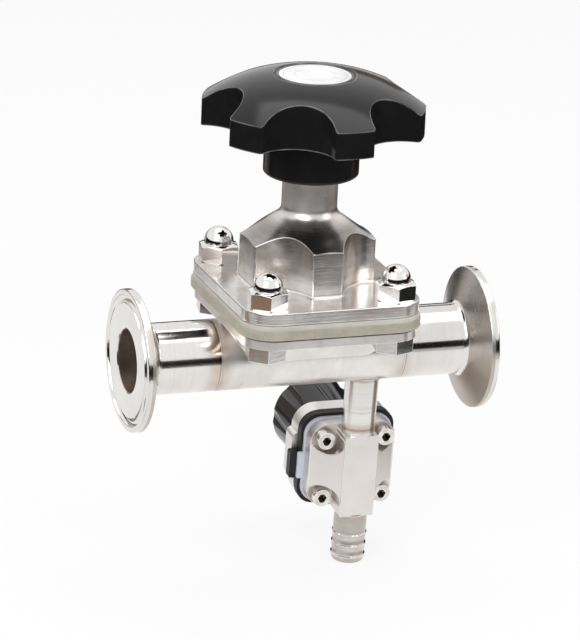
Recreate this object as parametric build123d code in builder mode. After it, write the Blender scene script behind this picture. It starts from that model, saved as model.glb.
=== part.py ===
from build123d import *
from math import cos, radians, sin, sqrt, tan
import os

# Hygienic weir diaphragm valve with a small diaphragm sampling valve welded under its run.
# Millimetres. Origin: centre of the inlet ferrule face. +X along the run, +Z along the main spindle.

# Run and clamp ferrules, 1 inch tube
face_to_face = 130.0
tube_d = 25.4
tube_wall = 1.5
body_length = 68.5
ferrule_d = 50.5
ferrule_rim = 2.85
ferrule_taper = 20.0
ferrule_root_fillet = 2.0
gasket_groove_d = 43.6
gasket_groove_r = 1.6
gasket_groove_rise = 0.2
ferrule_edge_round = 0.4
bore_mouth_chamfer = 0.5
body_bore_r = 10.7
body_bore_taper = 2.5

# Clamped stack of the main valve
seat_z = 16.5
body_flange_t = 4.0
clamp_x = 65.0
clamp_y = 72.6
clamp_corner = 11.0
face_layer_t = 3.2
diaphragm_t = 5.0
face_proud = 0.7
backing_proud = 0.2
body_setback = 0.7
body_top_round = 0.8
bonnet_flange_t = 4.6
bolt_pitch_x = 47.0
bolt_pitch_y = 54.0
bolt_d = 8.0
hex_flats = 13.0
bolt_head_h = 5.3
nut_hex_h = 6.3
dome_d = 10.4
nut_h = 12.1
hex_turn = 20
hex_chamfer_h = 0.45
hex_chamfer_w = 0.6
hex_shoulder_h = 0.9
nut_thread_depth = 8.0

# Bowl and weir
bowl_d = 35.0
weir_drop = 5.0
weir_angle = 42.0
weir_land = 2.4
weir_round = 1.0
weir_foot_drop = 2.0
bowl_waist = (12.7, 4.0)
bowl_floor = -8.05
bowl_tangents = ((-0.5, -1), (-1, 0))
body_neck_setback = 0.8
body_foot_setback = 0.3
body_foot_corner = 12.2
body_head_width = 42.0
body_head_corner = 20.0

# Main bonnet
bonnet_square = 45.0
bolt_scallop_r = 18.5
tower_edge_round = 0.8
bell_eave_reach = 3.2
bell_eave_z = 40.9
bell_skirt_z = 34.3
cone_mid = (13.0, 48.8)
neck_start = 53.5
bell_tangents = ((-1, 0.35), (0, 1))
seal_groove_depth = 1.8
seal_groove_half = 1.0
tower_top_round = 0.35
tower_root_round = 1.0
flange_edge_round = 0.5
seal_drop = 5.0
seal_r = 0.9
key_r = 1.8
neck_d = 19.6
neck_top = 78.0
guide_d = 30.0
guide_top = 38.0

# Main drive
stroke = 7.5
spindle_d = 10.0
nut_bush_d = 14.4
membrane_sphere_r = 30.0
press_disc_d = 24.0
press_disc_t = 1.5
press_t = 3.0
press_body_h = 6.5
socket_rise = 3.0
collar_r = 7.0
collar_t = 2.4
collar_play = 0.1
key_nib_r = 1.5
handwheel_d = 78.0
lobe_count = 6
lobe_angle = -87.0
scallop_r = 13.4
valley_r = 27.7
lobe_round = 1.2
lobe_inner_round = 0.8
wheel_bottom = 81.0
wheel_edge_top = 90.6
dome_start_r = 15.0
dome_mid = (28.0, 96.8)
dome_end_drop = 0.75
wheel_top = 100.5
wheel_wall = 3.6
hub_d = 33.6
hub_bottom = 64.9
hub_edge_round = 1.0
disc_d = 25.4
ring_r = 14.0
ring_groove = 0.5
disc_t = 1.2
disc_gap = 0.15
square_low = 87.5
square_side = 6.8
square_gap = 0.1
wheel_nut_low = 93.2
wheel_nut_h = 4.0
wheel_nut_flats = 10.0
wheel_nut_bore_r = 3.0
wheel_nut_room_r = 9.0
spindle_top_room = 1.2
wheel_rib_t = 2.6
wheel_rib_h = 10.0
wheel_rib_gap = 1.0

# Branch and sampling valve
branch_x = 23.5
branch_lean = 5.3
stub_d = 12.0
stub_bore = 9.0
sample_centre = 48.6
sample_plate = 31.8
sample_corner = 6.5
sample_face_size = 33.0
sample_backing_size = 35.2
plate_front = 4.2
plate_back = 9.2
bar_front = -5.4
bar_width = 12.6
bar_round = 0.5
wing_rise = 9.0
wing_inset = 0.5
wing_end_inset = 3.0
screw_scallop_r = 4.9
screw_gap = 0.15
screw_socket_flats = 3.0
screw_socket_depth = 2.2
screw_tip_room = 1.0
bar_top = 34.0
bar_bottom = 65.2
passage_r = 3.5
screw_pitch = 22.5
screw_d = 4.0
screw_head_d = 6.5
screw_head_h = 4.0
sample_bowl_d = 17.0
sample_bowl_side = (6.3, 3.6)
sample_bowl_floor = 0.5
sample_weir_drop = 1.6
sample_weir_half = 0.8
sample_weir_foot = (7.5, -7.0)
sample_drill_past = 2.0
sample_stroke = 2.25
sample_button_r = 6.0
sample_button_t = 2.2
sample_button_round = 0.7
sample_face_t = 1.0
sample_backing_t = 3.2
tab_height = 10.2
face_tab_reach = 1.9
backing_tab_reach = 3.4
tab_centre = 1.9
tab_round = 0.6
sample_bonnet_square = 35.6
sample_bonnet_corner = 8.0
lug_reach = 1.8
lug_height = 18.0
lug_corner = 2.0
sample_bonnet_t = 6.5
sample_boss_t = 1.8
sample_boss_flare = 1.5
sample_neck_back = 38.0
sample_neck_r = 8.0
sample_guide_r = 9.0
sample_nut_r = 5.0
sample_press_t = 3.8
sample_collar_r = 4.6
sample_collar_t = 1.6
sample_socket_rise = 1.6
sample_spindle_d = 6.0
knob_d = 30.0
knob_front_d = 27.0
knob_lobes = 8
knob_back = 50.5
knob_shoulder = 4.0
knob_crown = (1.4, 1.0)
knob_top_inset = 5.0
knob_flute_r = 4.0
knob_flute_out = 2.6
knob_wall = 3.0
barb_first = 73.0
barb_pitch = 4.3
barb_count = 3
barb_neck_r = 5.95
barb_tip_r = 6.25
barb_root_r = 5.75
barb_undercut = 0.4
barb_nose_r = 1.3
barb_end = 84.2
barb_bore = 6.0

# Clearances
run_gap = 0.05
slide_gap = 0.3
end_gap = 0.2

# Derived places of the main valve
centre_x = face_to_face / 2
tube_r = tube_d / 2
bore_r = tube_r - tube_wall
weld_in = centre_x - body_length / 2
weld_out = centre_x + body_length / 2
flange_bottom = seat_z - body_flange_t
face_top = seat_z + face_layer_t
clamp_top = seat_z + diaphragm_t
bonnet_seat = clamp_top + bonnet_flange_t
weir_top = seat_z - weir_drop
membrane_low = weir_top + stroke + run_gap
press_low = membrane_low + press_t
hub_r = hub_d / 2
neck_r = neck_d / 2
hub_bore_r = neck_r + slide_gap

# Derived places of the sampling valve, as distances behind the branch axis
sample_face_back = plate_back + sample_face_t
sample_clamp_back = sample_face_back + sample_backing_t
sample_flange_back = sample_clamp_back + sample_bonnet_t
sample_boss_back = sample_flange_back + sample_boss_t
knob_front = sample_boss_back + sample_stroke + 2 * end_gap

branch_origin = Vector(centre_x + branch_x, 0, 0)
branch_down = Vector(0, sin(radians(branch_lean)), -cos(radians(branch_lean)))
branch_back = Vector(0, cos(radians(branch_lean)), sin(radians(branch_lean)))
across = Vector(1, 0, 0)


def across_branch(distance):
    """Plane square to the branch, at a distance down it; its normal points down the branch."""
    return Plane(branch_origin + branch_down * distance, x_dir=across, z_dir=branch_down)


def sample_face(back):
    """Plane parallel to the sampling diaphragm, centred on it; normal backwards, local Y down."""
    middle = branch_origin + branch_down * sample_centre
    return Plane(middle + branch_back * back, x_dir=across, z_dir=branch_back)


spindle_plane = Plane((centre_x, 0, 0), x_dir=(1, 0, 0), z_dir=(0, -1, 0))
sample_section = Plane(
    branch_origin + branch_down * sample_centre, x_dir=branch_down, z_dir=across
)
sample_axis = Axis(branch_origin + branch_down * sample_centre, branch_back)
spindle_axis = Axis((centre_x, 0, 0), (0, 0, 1))


def level(z):
    """Horizontal plane centred on the spindle at height z."""
    return Plane((centre_x, 0, z), x_dir=(1, 0, 0), z_dir=(0, 0, 1))


def save(part, name):
    part.label = name
    export_step(part, f"parts/{name}.step")


# ---- Clamp ferrules ----


def ferrule_profile():
    """Half section of a clamp ferrule with its stub of tube, face at x = 0."""
    rim_r = ferrule_d / 2
    back_x = ferrule_rim + (rim_r - tube_r) * tan(radians(ferrule_taper))
    groove_mid = gasket_groove_d / 2
    with BuildSketch(Plane.XY) as section:
        with BuildLine():
            Polyline(
                (bore_mouth_chamfer, bore_r),
                (0, bore_r + bore_mouth_chamfer),
                (0, rim_r),
                (ferrule_rim, rim_r),
                (back_x, tube_r),
                (weld_in, tube_r),
                (weld_in, bore_r),
                close=True,
            )
        make_face()
        root = section.vertices().sort_by_distance((back_x, tube_r))[0]
        fillet(root, ferrule_root_fillet)
        fillet(section.vertices().group_by(Axis.Y)[-1], ferrule_edge_round)
        with Locations((-gasket_groove_rise, groove_mid)):
            Circle(gasket_groove_r, mode=Mode.SUBTRACT)
    return section.sketch


ferrule_section = ferrule_profile()

with BuildPart() as inlet_ferrule:
    add(ferrule_section)
    revolve(axis=Axis.X)

with BuildPart() as outlet_ferrule:
    add(ferrule_section)
    revolve(axis=Axis.X)
    mirror(about=Plane.YZ.offset(centre_x))
    split(bisect_by=Plane.YZ.offset(centre_x))

# ---- Weir body ----

body_x = clamp_x - 2 * body_setback
body_y = clamp_y - 2 * body_setback
neck_length = body_x - 2 * body_neck_setback
neck_foot = (neck_length, tube_d - 2 * body_foot_setback, body_foot_corner)
neck_head = (neck_length, body_head_width, body_head_corner)
with BuildPart() as weir_ridge:
    half_top = weir_land / 2
    weir_foot = -bore_r - weir_foot_drop
    half_low = half_top + (weir_top - weir_foot) / tan(radians(90 - weir_angle))
    with BuildSketch(spindle_plane) as ridge:
        with BuildLine():
            Polyline(
                (-half_low, weir_foot),
                (-half_top, weir_top),
                (half_top, weir_top),
                (half_low, weir_foot),
                close=True,
            )
        make_face()
        fillet(ridge.vertices().group_by(Axis.Y)[-1], weir_round)
    extrude(amount=bowl_d, both=True)
    with BuildSketch(Plane.YZ.offset(centre_x)):
        saddle_r = ((bowl_d / 2) ** 2 + weir_drop**2) / (2 * weir_drop)
        with Locations((0, weir_top + saddle_r)):
            Circle(saddle_r)
    extrude(amount=bowl_d, both=True, mode=Mode.SUBTRACT)

with BuildPart() as run_body:
    with BuildSketch(Plane.YZ.offset(weld_in)):
        Circle(tube_r)
    extrude(amount=body_length)
    with BuildSketch(level(0)):
        RectangleRounded(*neck_foot)
    with BuildSketch(level(flange_bottom)):
        RectangleRounded(*neck_head)
    loft()
    with BuildSketch(level(flange_bottom)):
        RectangleRounded(body_x, body_y, clamp_corner - body_setback)
    extrude(amount=body_flange_t)
    rim_edges = run_body.faces().sort_by(Axis.Z)[-1].outer_wire().edges()
    fillet(rim_edges, body_top_round)
    with BuildSketch(level(seat_z)):
        with GridLocations(bolt_pitch_x, bolt_pitch_y, 2, 2):
            Circle(bolt_d / 2 + slide_gap)
    extrude(amount=-body_flange_t - bolt_head_h, mode=Mode.SUBTRACT)

with BuildPart() as passage:
    with BuildSketch(Plane.XY):
        with BuildLine():
            Polyline(
                (weld_in, 0),
                (weld_in, bore_r),
                (weld_in + body_bore_taper, body_bore_r),
                (weld_out - body_bore_taper, body_bore_r),
                (weld_out, bore_r),
                (weld_out, 0),
                close=True,
            )
        make_face()
    revolve(axis=Axis.X)
    with BuildSketch(spindle_plane):
        with BuildLine():
            bowl_edge = (bowl_d / 2, seat_z)
            Line((0, seat_z), bowl_edge)
            Spline(bowl_edge, bowl_waist, (0, bowl_floor), tangents=bowl_tangents)
            Line((0, bowl_floor), (0, seat_z))
        make_face()
    revolve(axis=spindle_axis)
    add(weir_ridge.part, mode=Mode.SUBTRACT)
    with BuildSketch(across_branch(0)):
        Circle(stub_bore / 2)
    extrude(amount=tube_d)

with BuildPart() as body:
    add(run_body.part)
    add(passage.part, mode=Mode.SUBTRACT)

# ---- Main diaphragm, clamped edge and moving middle ----


def clamp_layer(low, thickness, proud, opening_d):
    """One layer of the diaphragm's clamped edge, with its bolt holes."""
    with BuildPart() as layer:
        with BuildSketch(level(low)):
            RectangleRounded(clamp_x + 2 * proud, clamp_y + 2 * proud, clamp_corner + proud)
            Circle(opening_d / 2, mode=Mode.SUBTRACT)
            with GridLocations(bolt_pitch_x, bolt_pitch_y, 2, 2):
                Circle(bolt_d / 2 + slide_gap, mode=Mode.SUBTRACT)
        extrude(amount=thickness)
    return layer.part


diaphragm_face = clamp_layer(seat_z, face_layer_t, face_proud, bowl_d)
diaphragm_backing = clamp_layer(face_top, diaphragm_t - face_layer_t, backing_proud, bowl_d)

with BuildPart() as membrane:
    disc_r = press_disc_d / 2
    rise = membrane_sphere_r - sqrt(membrane_sphere_r**2 - disc_r**2)
    half_rise = membrane_sphere_r - sqrt(membrane_sphere_r**2 - disc_r**2 / 4)
    with BuildSketch(spindle_plane):
        with BuildLine():
            ThreePointArc(
                (0, membrane_low),
                (disc_r / 2, membrane_low + half_rise),
                (disc_r, membrane_low + rise),
            )
            Line((disc_r, membrane_low + rise), (disc_r, press_low))
            Line((disc_r, press_low), (0, press_low))
            Line((0, press_low), (0, membrane_low))
        make_face()
    revolve(axis=spindle_axis)

# ---- Main bonnet ----

bell_eave = (bonnet_square / 2 + bell_eave_reach, bell_eave_z)
with BuildPart() as bonnet_bell:
    with BuildSketch(spindle_plane):
        with BuildLine():
            outer_r = bonnet_square
            Line((0, bonnet_seat), (outer_r, bonnet_seat))
            Line((outer_r, bonnet_seat), (outer_r, bell_skirt_z))
            Line((outer_r, bell_skirt_z), bell_eave)
            Spline(bell_eave, cone_mid, (neck_r, neck_start), tangents=bell_tangents)
            Line((neck_r, neck_start), (neck_r, neck_top))
            Line((neck_r, neck_top), (0, neck_top))
            Line((0, neck_top), (0, bonnet_seat))
        make_face()
    revolve(axis=spindle_axis)

with BuildPart() as bonnet_tower:
    with BuildSketch(level(bonnet_seat)) as tower_outline:
        Rectangle(bonnet_square, bonnet_square)
        with GridLocations(bolt_pitch_x, bolt_pitch_y, 2, 2):
            Circle(bolt_scallop_r, mode=Mode.SUBTRACT)
        fillet(tower_outline.vertices(), tower_edge_round)
    extrude(amount=neck_top - bonnet_seat)
    add(bonnet_bell.part, mode=Mode.INTERSECT)

with BuildPart() as main_bonnet:
    add(bonnet_tower.part)
    tower_top = main_bonnet.edges().filter_by_position(Axis.Z, bell_skirt_z, neck_start)
    fillet(tower_top.filter_by(lambda edge: edge.length > bonnet_seat - clamp_top), tower_top_round)
    with BuildSketch(level(clamp_top)):
        RectangleRounded(clamp_x, clamp_y, clamp_corner)
    extrude(amount=bonnet_flange_t)
    seat_edges = main_bonnet.edges().filter_by_position(Axis.Z, bonnet_seat, bonnet_seat)
    seat_centre = Vector(centre_x, 0, bonnet_seat)
    fillet(
        seat_edges.filter_by(lambda edge: (edge.center() - seat_centre).length < bonnet_square / sqrt(2)),
        tower_root_round,
    )
    top_edges = main_bonnet.edges().filter_by_position(Axis.Z, bonnet_seat, bonnet_seat)
    fillet(
        top_edges.filter_by(lambda edge: (edge.center() - seat_centre).length > bonnet_square / sqrt(2)),
        flange_edge_round,
    )
    fillet(main_bonnet.faces().sort_by(Axis.Z)[0].outer_wire().edges(), flange_edge_round)
    with BuildSketch(level(clamp_top)):
        with GridLocations(bolt_pitch_x, bolt_pitch_y, 2, 2):
            Circle(bolt_d / 2 + slide_gap)
    extrude(amount=bonnet_flange_t, mode=Mode.SUBTRACT)
    with BuildSketch(level(clamp_top)):
        Circle(guide_d / 2)
    extrude(amount=guide_top - clamp_top, mode=Mode.SUBTRACT)
    with BuildSketch(level(guide_top)):
        Circle(nut_bush_d / 2)
    extrude(amount=neck_top - guide_top, mode=Mode.SUBTRACT)
    seal_z = neck_top - seal_drop
    with BuildSketch(level(seal_z - seal_groove_half)):
        Circle(neck_r + seal_r)
        Circle(neck_r - seal_groove_depth, mode=Mode.SUBTRACT)
    extrude(amount=2 * seal_groove_half, mode=Mode.SUBTRACT)
    with BuildSketch(level(clamp_top)):
        with Locations((guide_d / 2, 0), (-guide_d / 2, 0)):
            Circle(key_r)
    extrude(amount=guide_top - clamp_top, mode=Mode.SUBTRACT)

with BuildPart() as neck_seal:
    with BuildSketch(spindle_plane):
        with Locations((neck_r - seal_r, seal_z)):
            Circle(seal_r)
    revolve(axis=spindle_axis)

with BuildPart() as spindle_nut:
    with BuildSketch(level(guide_top)):
        Circle(nut_bush_d / 2)
        Circle(spindle_d / 2 + run_gap, mode=Mode.SUBTRACT)
    extrude(amount=neck_top - guide_top)

# ---- Main compressor and spindle ----

press_body_r = guide_d / 2 - slide_gap
socket_low = press_low + socket_rise
with BuildPart() as main_compressor:
    with BuildSketch(level(press_low)):
        Circle(press_disc_d / 2)
    extrude(amount=press_disc_t)
    with BuildSketch(level(press_low + press_disc_t)):
        Circle(press_body_r)
        with Locations((guide_d / 2, 0), (-guide_d / 2, 0)):
            Circle(key_nib_r)
    extrude(amount=press_body_h)
    with BuildSketch(level(socket_low)):
        Circle(collar_r + slide_gap)
    extrude(amount=collar_t + slide_gap, mode=Mode.SUBTRACT)
    with BuildSketch(level(socket_low)):
        Circle(spindle_d / 2 + run_gap)
    extrude(amount=press_body_h, mode=Mode.SUBTRACT)

spindle_top = wheel_top - disc_t - spindle_top_room
with BuildPart() as main_spindle:
    with BuildSketch(level(socket_low + collar_play)):
        Circle(collar_r)
    extrude(amount=collar_t)
    with BuildSketch(level(socket_low + collar_play)):
        Circle(spindle_d / 2)
    extrude(amount=square_low - socket_low - collar_play)
    with BuildSketch(level(square_low)):
        Rectangle(square_side, square_side)
    extrude(amount=wheel_nut_low - square_low)
    with BuildSketch(level(wheel_nut_low)):
        Circle(wheel_nut_bore_r)
    extrude(amount=spindle_top - wheel_nut_low)

# ---- Handwheel ----

wheel_r = handwheel_d / 2
wheel_plane = level(wheel_bottom)
dome_end = (wheel_r + 1, wheel_edge_top - dome_end_drop)
under_end = (wheel_r + 1, wheel_edge_top - dome_end_drop - wheel_wall)


def lobed_outline(inset, corner_r):
    """Plan of the six lobed wheel, moved inwards by an inset, with its lobe corners rounded."""
    with BuildSketch() as plan:
        Circle(wheel_r - inset)
        with PolarLocations(valley_r + scallop_r, lobe_count, start_angle=lobe_angle + 180 / lobe_count):
            Circle(scallop_r + inset, mode=Mode.SUBTRACT)
        fillet(plan.vertices(), corner_r)
    return plan.sketch


with BuildPart() as wheel_dome:
    with BuildSketch(spindle_plane):
        with BuildLine():
            Line((0, wheel_bottom), (wheel_r + 1, wheel_bottom))
            Line((wheel_r + 1, wheel_bottom), dome_end)
            ThreePointArc(dome_end, dome_mid, (dome_start_r, wheel_top))
            Line((dome_start_r, wheel_top), (0, wheel_top))
            Line((0, wheel_top), (0, wheel_bottom))
        make_face()
    revolve(axis=spindle_axis)

with BuildPart() as wheel_cavity:
    with BuildSketch(spindle_plane):
        with BuildLine():
            under_hub = (hub_r, wheel_top - wheel_wall)
            Line((hub_r, wheel_bottom - 1), (wheel_r + 1, wheel_bottom - 1))
            Line((wheel_r + 1, wheel_bottom - 1), under_end)
            ThreePointArc(under_end, (dome_mid[0], dome_mid[1] - wheel_wall), under_hub)
            Line(under_hub, (hub_r, wheel_bottom - 1))
        make_face()
    revolve(axis=spindle_axis)
    with BuildSketch(wheel_plane):
        add(lobed_outline(wheel_wall, lobe_inner_round))
    extrude(amount=wheel_top, both=True, mode=Mode.INTERSECT)

with BuildPart() as handwheel:
    with BuildSketch(wheel_plane):
        add(lobed_outline(0, lobe_round))
    extrude(amount=wheel_top - wheel_bottom)
    add(wheel_dome.part, mode=Mode.INTERSECT)
    add(wheel_cavity.part, mode=Mode.SUBTRACT)
    with BuildSketch(level(hub_bottom)):
        Circle(hub_r)
    extrude(amount=wheel_bottom - hub_bottom + 1)
    hub_edge = handwheel.edges().filter_by(GeomType.CIRCLE).group_by(Axis.Z)[0]
    fillet(hub_edge, hub_edge_round)
    with BuildSketch(wheel_plane):
        with PolarLocations((hub_r + wheel_r) / 2 - wheel_rib_gap, lobe_count, start_angle=lobe_angle):
            Rectangle(wheel_r - hub_r, wheel_rib_t)
    extrude(amount=wheel_rib_h)
    with BuildSketch(level(hub_bottom)):
        Circle(hub_bore_r)
    extrude(amount=square_low - hub_bottom, mode=Mode.SUBTRACT)
    with BuildSketch(level(square_low)):
        Rectangle(square_side + square_gap, square_side + square_gap)
    extrude(amount=wheel_nut_low - square_low, mode=Mode.SUBTRACT)
    with BuildSketch(level(wheel_nut_low)):
        Circle(wheel_nut_room_r)
    extrude(amount=wheel_top - wheel_nut_low, mode=Mode.SUBTRACT)
    with BuildSketch(level(wheel_top - disc_t)):
        Circle(disc_d / 2 + disc_gap)
    extrude(amount=disc_t, mode=Mode.SUBTRACT)
    with BuildSketch(spindle_plane):
        with Locations((ring_r, wheel_top)):
            Circle(ring_groove)
    revolve(axis=spindle_axis, mode=Mode.SUBTRACT)

with BuildPart() as handwheel_nut:
    with BuildSketch(level(wheel_nut_low)):
        RegularPolygon(wheel_nut_flats / 2, 6, major_radius=False)
        Circle(wheel_nut_bore_r, mode=Mode.SUBTRACT)
    extrude(amount=wheel_nut_h)

with BuildPart() as handwheel_disc:
    with BuildSketch(level(wheel_top - disc_t)):
        Circle(disc_d / 2)
    extrude(amount=disc_t - disc_gap)

# ---- Flange bolts and dome nuts ----

shank_r = bolt_d / 2
with BuildPart() as flange_bolts:
    with BuildSketch(level(flange_bottom - bolt_head_h)):
        with GridLocations(bolt_pitch_x, bolt_pitch_y, 2, 2):
            RegularPolygon(hex_flats / 2, 6, major_radius=False, rotation=hex_turn)
    extrude(amount=bolt_head_h)
    with BuildSketch(level(flange_bottom)):
        with GridLocations(bolt_pitch_x, bolt_pitch_y, 2, 2):
            Circle(shank_r)
    extrude(amount=bonnet_seat + nut_thread_depth - flange_bottom)


def dome_nut(x, y):
    """Acorn nut: chamfered hexagon with a domed cap over the thread."""
    corner_r = hex_flats / sqrt(3)
    foot = Plane((centre_x + x, y, bonnet_seat), x_dir=(1, 0, 0), z_dir=(0, 0, 1))
    axis = Axis((centre_x + x, y, 0), (0, 0, 1))
    section = Plane((centre_x + x, y, bonnet_seat), x_dir=(1, 0, 0), z_dir=(0, -1, 0))
    cap_r = dome_d / 2
    wall_top = nut_h - cap_r
    with BuildPart() as nut:
        with BuildSketch(section):
            with BuildLine():
                Polyline(
                    (0, 0),
                    (corner_r - hex_chamfer_w, 0),
                    (corner_r, hex_chamfer_h),
                    (corner_r, nut_hex_h - hex_shoulder_h),
                    (cap_r, nut_hex_h),
                    (cap_r, wall_top),
                )
                RadiusArc((cap_r, wall_top), (0, nut_h), -cap_r)
                Line((0, nut_h), (0, 0))
            make_face()
        revolve(axis=axis)
        with BuildSketch(foot):
            RegularPolygon(hex_flats / 2, 6, major_radius=False, rotation=hex_turn)
        extrude(amount=nut_h, mode=Mode.INTERSECT)
        with BuildSketch(foot):
            Circle(shank_r)
        extrude(amount=nut_thread_depth, mode=Mode.SUBTRACT)
    return nut.part


with BuildPart() as dome_nuts:
    for side in (-1, 1):
        for end in (-1, 1):
            add(dome_nut(side * bolt_pitch_x / 2, end * bolt_pitch_y / 2))

# ---- Branch stub ----

stub_end = sample_centre - sample_plate / 2

with BuildPart() as branch_stub:
    with BuildSketch(across_branch(0)):
        Circle(stub_d / 2)
        Circle(stub_bore / 2, mode=Mode.SUBTRACT)
    extrude(amount=stub_end)
    with BuildSketch(Plane.YZ):
        Circle(tube_r)
    extrude(amount=face_to_face, mode=Mode.SUBTRACT)

# ---- Sampling valve block ----

top_y = bar_top - sample_centre
bottom_y = bar_bottom - sample_centre
wing_height = sample_plate - 2 * wing_end_inset
with BuildPart() as sample_block:
    with BuildSketch(sample_face(plate_front)):
        RectangleRounded(sample_plate, sample_plate, sample_corner)
    extrude(amount=plate_back - plate_front)
    with BuildSketch(sample_face(plate_front)):
        Rectangle(sample_plate - 2 * wing_inset, wing_height)
    with BuildSketch(sample_face(plate_front - wing_rise)):
        Rectangle(bar_width, wing_height)
    loft()
    with BuildSketch(sample_face(bar_front)):
        with Locations((0, (top_y + bottom_y) / 2)):
            RectangleRounded(bar_width, bottom_y - top_y, bar_round)
    extrude(amount=plate_front - bar_front)
    with BuildSketch(across_branch(stub_end)):
        Circle(stub_d / 2)
    extrude(amount=plate_front)
    with BuildSketch(sample_face(bar_front - 1)):
        with GridLocations(screw_pitch, screw_pitch, 2, 2):
            Circle(screw_scallop_r)
    extrude(amount=plate_front - bar_front + 1, mode=Mode.SUBTRACT)
    with BuildSketch(sample_face(plate_front)):
        with GridLocations(screw_pitch, screw_pitch, 2, 2):
            Circle(screw_d / 2 + screw_gap)
    extrude(amount=plate_back - plate_front, mode=Mode.SUBTRACT)

sample_weir_back = plate_back - sample_weir_drop
with BuildPart() as sample_ridge:
    with BuildSketch(sample_section) as ridge_section:
        with BuildLine():
            Polyline(
                (-sample_weir_foot[0], sample_weir_foot[1]),
                (-sample_weir_half, sample_weir_back),
                (sample_weir_half, sample_weir_back),
                sample_weir_foot,
                close=True,
            )
        make_face()
    extrude(amount=sample_plate / 2, both=True)

with BuildPart() as sample_passage:
    with BuildSketch(across_branch(stub_end)):
        Circle(stub_bore / 2)
    extrude(amount=sample_centre - stub_end - sample_drill_past)
    with BuildSketch(across_branch(sample_centre + sample_drill_past)):
        Circle(passage_r)
    extrude(amount=bar_bottom - sample_centre)
    with BuildSketch(sample_section):
        with BuildLine():
            Line((0, plate_back), (sample_bowl_d / 2, plate_back))
            ThreePointArc((sample_bowl_d / 2, plate_back), sample_bowl_side, (0, sample_bowl_floor))
            Line((0, sample_bowl_floor), (0, plate_back))
        make_face()
    revolve(axis=sample_axis)
    add(sample_ridge.part, mode=Mode.SUBTRACT)

with BuildPart() as sample_valve_block:
    add(sample_block.part)
    add(sample_passage.part, mode=Mode.SUBTRACT)

# ---- Hose barb ----

with BuildPart() as hose_barb:
    barb_section = Plane(branch_origin, x_dir=branch_down, z_dir=across)
    with BuildSketch(barb_section) as barb_profile:
        with BuildLine():
            points = [(bar_bottom, barb_bore / 2), (bar_bottom, barb_neck_r), (barb_first, barb_neck_r)]
            for step in range(barb_count):
                ridge_at = barb_first + step * barb_pitch
                points.append((ridge_at - barb_undercut, barb_root_r))
                points.append((ridge_at, barb_tip_r))
            points.append((barb_end, barb_root_r))
            points.append((barb_end, barb_bore / 2))
            Polyline(*points, close=True)
        make_face()
        fillet(barb_profile.vertices().sort_by_distance((barb_end, barb_root_r))[0], barb_nose_r)
    revolve(axis=Axis(branch_origin, branch_down))

# ---- Sampling diaphragm, clamped edge and moving middle ----


def sample_layer(back, thickness, size, tab_reach):
    """Clamped layer of the sampling diaphragm with its identification tab on the inlet side."""
    with BuildPart() as layer:
        with BuildSketch(sample_face(back)):
            RectangleRounded(size, size, sample_corner)
            with Locations((-size / 2, tab_centre)):
                RectangleRounded(2 * tab_reach, tab_height, tab_round)
            Circle(sample_bowl_d / 2, mode=Mode.SUBTRACT)
            with GridLocations(screw_pitch, screw_pitch, 2, 2):
                Circle(screw_d / 2 + screw_gap, mode=Mode.SUBTRACT)
        extrude(amount=thickness)
    return layer.part


sample_diaphragm_face = sample_layer(plate_back, sample_face_t, sample_face_size, face_tab_reach)
sample_diaphragm_backing = sample_layer(
    sample_face_back, sample_backing_t, sample_backing_size, backing_tab_reach
)

sample_button_front = sample_weir_back + sample_stroke + run_gap
sample_press_front = sample_button_front + sample_button_t
with BuildPart() as sample_membrane:
    with BuildSketch(sample_face(sample_button_front)):
        Circle(sample_button_r)
    extrude(amount=sample_button_t)
    fillet(sample_membrane.faces().sort_by(sample_axis)[0].edges(), sample_button_round)

# ---- Sampling bonnet, compressor and spindle ----

sample_press_body = sample_clamp_back + sample_stroke + end_gap
sample_guide_back = sample_press_body + sample_press_t
with BuildPart() as sample_bonnet:
    with BuildSketch(sample_face(sample_clamp_back)):
        RectangleRounded(sample_bonnet_square, sample_bonnet_square, sample_bonnet_corner)
        RectangleRounded(sample_bonnet_square + 2 * lug_reach, lug_height, lug_corner)
    extrude(amount=sample_bonnet_t)
    with BuildSketch(sample_face(sample_flange_back)):
        Circle(knob_front_d / 2 + sample_boss_flare)
    with BuildSketch(sample_face(sample_boss_back)):
        Circle(knob_front_d / 2)
    loft()
    with BuildSketch(sample_face(sample_boss_back)):
        Circle(sample_neck_r)
    extrude(amount=sample_neck_back - sample_boss_back)
    with BuildSketch(sample_face(sample_clamp_back)):
        Circle(sample_guide_r)
    extrude(amount=sample_guide_back - sample_clamp_back, mode=Mode.SUBTRACT)
    with BuildSketch(sample_face(sample_guide_back)):
        Circle(sample_nut_r)
    extrude(amount=sample_neck_back - sample_guide_back, mode=Mode.SUBTRACT)
    with BuildSketch(sample_face(sample_clamp_back)):
        with GridLocations(screw_pitch, screw_pitch, 2, 2):
            Circle(screw_d / 2)
    extrude(amount=sample_bonnet_t - screw_tip_room, mode=Mode.SUBTRACT)

with BuildPart() as sample_spindle_nut:
    with BuildSketch(sample_face(sample_guide_back)):
        Circle(sample_nut_r)
        Circle(sample_spindle_d / 2 + run_gap, mode=Mode.SUBTRACT)
    extrude(amount=sample_neck_back - sample_guide_back)

sample_socket = sample_press_front + sample_socket_rise
with BuildPart() as sample_compressor:
    with BuildSketch(sample_face(sample_press_front)):
        Circle(sample_button_r)
    extrude(amount=sample_press_body - sample_press_front)
    with BuildSketch(sample_face(sample_press_body)):
        Circle(sample_guide_r - slide_gap)
    extrude(amount=sample_guide_back - end_gap - sample_press_body)
    with BuildSketch(sample_face(sample_socket)):
        Circle(sample_collar_r + slide_gap)
    extrude(amount=sample_collar_t + 2 * collar_play, mode=Mode.SUBTRACT)
    with BuildSketch(sample_face(sample_socket)):
        Circle(sample_spindle_d / 2 + run_gap)
    extrude(amount=sample_guide_back - sample_socket, mode=Mode.SUBTRACT)

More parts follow.
